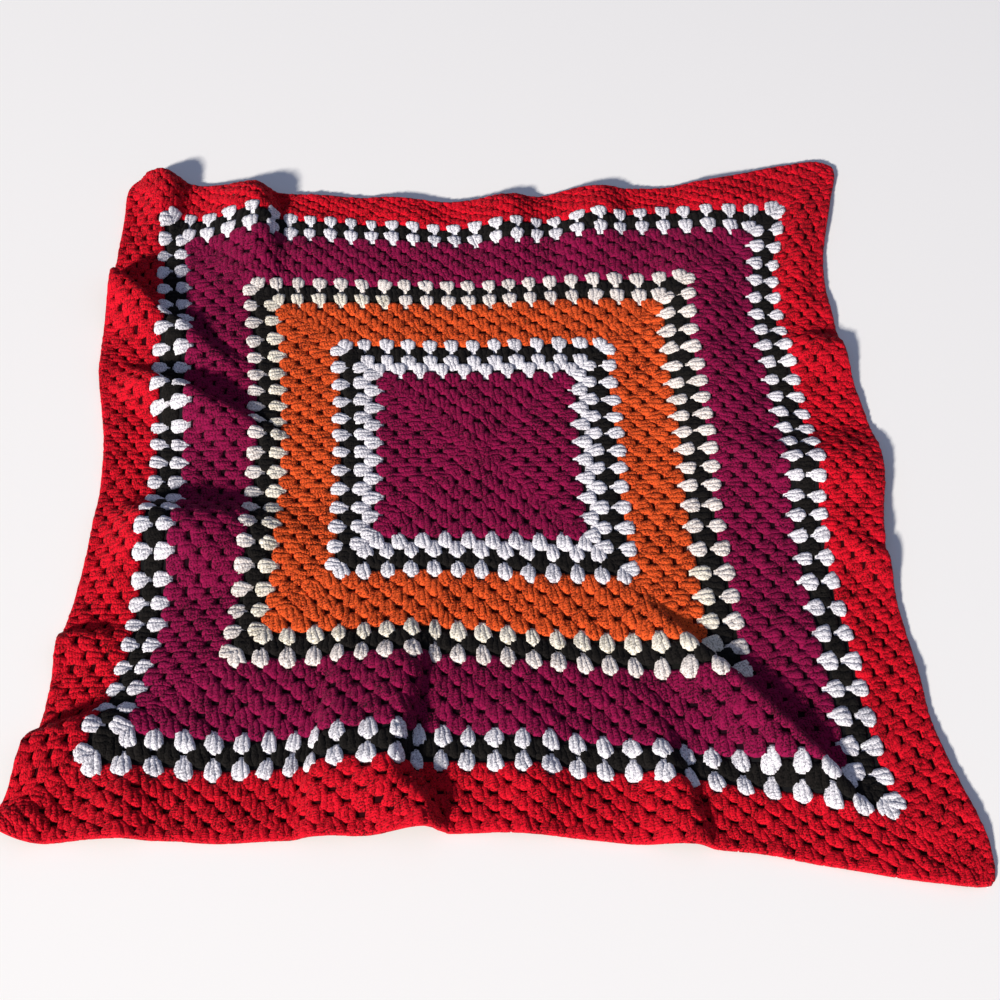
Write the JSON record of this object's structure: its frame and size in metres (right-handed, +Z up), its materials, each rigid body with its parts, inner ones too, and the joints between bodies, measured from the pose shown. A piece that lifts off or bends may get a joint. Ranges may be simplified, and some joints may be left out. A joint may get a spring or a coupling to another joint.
{
  "type": "granny square blanket",
  "caption": "Crocheted granny square blanket of wool-type yarn in bands of colour, lying flat with low soft folds round its rim.",
  "frame": {"origin": "middle of the blanket's bounding rectangle, on the surface it lies on", "axes": "+Z up out of the cloth's face, +Y towards the back edge and +X towards the right edge, as seen from the front"},
  "size_m": [0.9938, 1.0404, 0.0407],
  "materials": {
    "red_yarn": "matte plied yarn, scarlet",
    "plum_yarn": "matte plied yarn, plum",
    "orange_yarn": "matte plied yarn, orange",
    "white_yarn": "matte plied yarn, white to cream",
    "black_yarn": "matte plied yarn, black"
  },
  "bodies": {
    "root": {"blanket": "red_yarn"}
  },
  "joints": []
}
